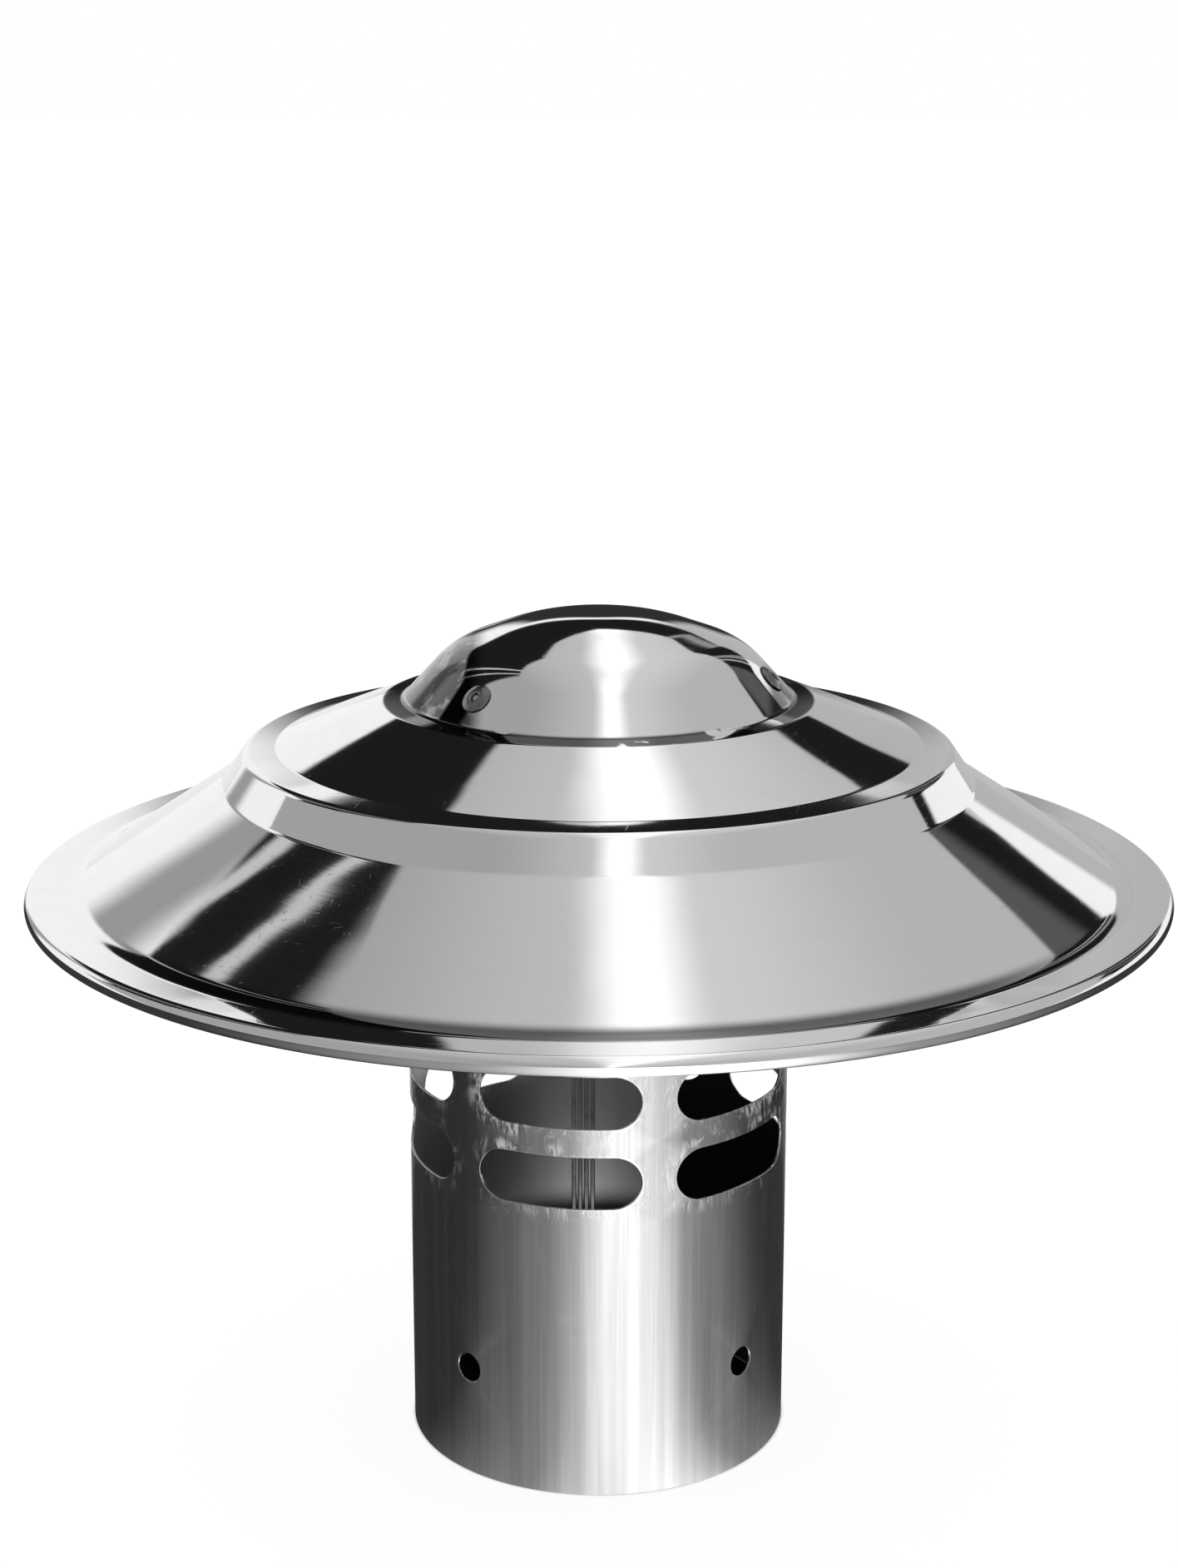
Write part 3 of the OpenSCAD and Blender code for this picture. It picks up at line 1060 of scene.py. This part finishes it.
def floor_paper(stage):
    """Pale paper: near white to the camera with the shadow kept, painted near black inside the sleeve as
    painted shadow, and the key light's fall-off in metal.
    """
    made, s = material("pale_paper")
    made.cycles.emission_sampling = "NONE"
    place = s.node("TexCoord", output="Object")
    ahead, right, _ = studio_frame(s, place, stage)
    from_back = s.degrees(right, -ahead)
    far_left = from_back.between(-36, -26, -8, -3) * 0.85
    far_right = from_back.between(6, 11, 26, 36) * 0.5
    glow = key_light(s.degrees(right, ahead) - 15) + far_left + far_right
    mirrored = s.node("Emission", sockets={"Color": glow})
    fibre = s.noise(place, 900, 3, 0.6)
    beyond_sleeve = (ahead * ahead + right * right).sqrt().rise(50 * MM, 52 * MM)
    paper_colour = s.mix(fibre, rgba(stage.floor), rgba(stage.floor, 0.97))
    # Painted shadow: inside the sleeve the paper is near black, and the camera sees it without the white
    paper_colour = s.mix(beyond_sleeve, rgba(stage.floor, 0.03), paper_colour)
    paper = s.node("BsdfDiffuse", sockets={"Color": paper_colour})
    white = s.node("Emission", sockets={"Strength": 1.1})
    path = s.node("LightPath", output="Is Camera Ray")
    seen = s.node("MixShader", sockets={0: path * beyond_sleeve * 0.8, 1: paper, 2: white})
    surface = s.node("MixShader", sockets={0: path.other("Is Glossy Ray"), 1: seen, 2: mirrored})
    s.node("OutputMaterial", sockets={"Surface": surface})
    return made


def lay_floor(stage):
    """A wide floor under the sleeve's foot."""
    reach = 30
    bm = bmesh.new()
    bmesh.ops.create_grid(bm, x_segments=2, y_segments=2, size=reach)
    mesh = bpy.data.meshes.new("floor")
    bm.to_mesh(mesh)
    bm.free()
    mesh.transform(Matrix.Translation((0, 0, CAD_BOX[0].z)))
    mesh.materials.append(floor_paper(stage))
    floor = bpy.data.objects.new("floor", mesh)
    bpy.context.scene.collection.objects.link(floor)


def place_camera(stage, hood):
    """The camera, aimed a little above the rim's centre."""
    data = bpy.data.cameras.new("camera")
    data.lens = stage.lens
    data.sensor_width = 36
    data.clip_start = 10 * MM
    camera = bpy.data.objects.new("camera", data)
    bpy.context.scene.collection.objects.link(camera)
    e = stage.elevation
    back = Vector((0, -math.cos(e), math.sin(e)))
    back.rotate(Matrix.Rotation(stage.azimuth, 3, "Z"))
    camera.location = Vector((0, 0, hood.rim_z)) + back * stage.distance
    camera.rotation_euler = (math.radians(90) - e + stage.tilt, 0, stage.azimuth + stage.pan)
    bpy.context.scene.camera = camera


class BuildStep:
    """What the operators share."""

    bl_options = {"REGISTER", "UNDO"}


class VENTCAP_OT_hood(BuildStep, bpy.types.Operator):
    """Spin the polished hood from the crown to its rolled rim"""

    bl_idname = "ventcap.hood"
    bl_label = "Spin Hood"

    def execute(self, context):
        scene = context.scene
        piece = spun_hood(scene.ventcap_hood, scene.ventcap_finish)
        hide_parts("hood")
        return {"FINISHED"}


class VENTCAP_OT_sleeve(BuildStep, bpy.types.Operator):
    """Punch and roll the slotted sleeve with its tabs"""

    bl_idname = "ventcap.sleeve"
    bl_label = "Roll Sleeve"

    def execute(self, context):
        scene = context.scene
        piece = rolled_sleeve(
            scene.ventcap_hood, scene.ventcap_sleeve, scene.ventcap_rivets, scene.ventcap_finish
        )
        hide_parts("sleeve")
        return {"FINISHED"}


class VENTCAP_OT_seam(BuildStep, bpy.types.Operator):
    """Fold the seam that closes the sleeve"""

    bl_idname = "ventcap.seam"
    bl_label = "Fold Seam"

    def execute(self, context):
        scene = context.scene
        piece = folded_seam(scene.ventcap_sleeve, scene.ventcap_finish)
        return {"FINISHED"}


class VENTCAP_OT_rivet_bodies(BuildStep, bpy.types.Operator):
    """Set the rivets' bodies through crown and tabs"""

    bl_idname = "ventcap.rivet_bodies"
    bl_label = "Set Rivets"

    def execute(self, context):
        scene = context.scene
        rivets = scene.ventcap_rivets
        steel = rivet_steel("rivet_satin_steel", scene.ventcap_finish.rivet, 0.2, 0.006 * MM)
        for number in range(rivets.count):
            piece = rivet_body(scene.ventcap_hood, rivets, number, steel)
            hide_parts(f"rivet_body_{number + 1}")
        return {"FINISHED"}


class VENTCAP_OT_mandrels(BuildStep, bpy.types.Operator):
    """Leave the broken mandrels in the rivets"""

    bl_idname = "ventcap.mandrels"
    bl_label = "Break Mandrels"

    def execute(self, context):
        scene = context.scene
        rivets = scene.ventcap_rivets
        steel = rivet_steel("torn_mandrel_steel", scene.ventcap_finish.mandrel, 0.3, 0.02 * MM)
        for number in range(rivets.count):
            piece = broken_mandrel(scene.ventcap_hood, rivets, number, steel)
            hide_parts(f"rivet_mandrel_{number + 1}")
        return {"FINISHED"}


class VENTCAP_OT_stage(BuildStep, bpy.types.Operator):
    """Lay the pale floor and set up the soft light and the camera"""

    bl_idname = "ventcap.stage"
    bl_label = "Set Stage"

    def execute(self, context):
        scene = context.scene
        scene.view_settings.view_transform = "Standard"
        white_world(scene.ventcap_stage)
        lay_floor(scene.ventcap_stage)
        place_camera(scene.ventcap_stage, scene.ventcap_hood)
        return {"FINISHED"}


STEPS = (
    VENTCAP_OT_hood,
    VENTCAP_OT_sleeve,
    VENTCAP_OT_seam,
    VENTCAP_OT_rivet_bodies,
    VENTCAP_OT_mandrels,
    VENTCAP_OT_stage,
)
SETTINGS = {
    "ventcap_hood": VENTCAP_PG_hood,
    "ventcap_sleeve": VENTCAP_PG_sleeve,
    "ventcap_rivets": VENTCAP_PG_rivets,
    "ventcap_finish": VENTCAP_PG_finish,
    "ventcap_stage": VENTCAP_PG_stage,
}


class VENTCAP_PT_build(bpy.types.Panel):
    """Steps that build the vent cap, and its sizes and colours"""

    bl_idname = "VENTCAP_PT_build"
    bl_label = "Vent Cap"
    bl_space_type = "VIEW_3D"
    bl_region_type = "UI"
    bl_category = "Vent Cap"

    def draw(self, context):
        for step in STEPS:
            self.layout.operator(step.bl_idname)
        for attribute, group in SETTINGS.items():
            box = self.layout.box()
            for name in group.__annotations__:
                box.prop(getattr(context.scene, attribute), name)


CLASSES = (*SETTINGS.values(), *STEPS, VENTCAP_PT_build)


def register():
    """Registers the classes and gives the scene its settings."""
    for item in CLASSES:
        bpy.utils.register_class(item)
    for attribute, group in SETTINGS.items():
        setattr(bpy.types.Scene, attribute, PointerProperty(type=group))


def unregister():
    """Takes back what register() did."""
    for attribute in SETTINGS:
        delattr(bpy.types.Scene, attribute)
    for item in reversed(CLASSES):
        bpy.utils.unregister_class(item)


def main():
    """Builds every piece and the stage."""
    register()
    bpy.ops.ventcap.hood()
    bpy.ops.ventcap.sleeve()
    bpy.ops.ventcap.seam()
    bpy.ops.ventcap.rivet_bodies()
    bpy.ops.ventcap.mandrels()
    bpy.ops.ventcap.stage()


if __name__ == "__main__":
    main()
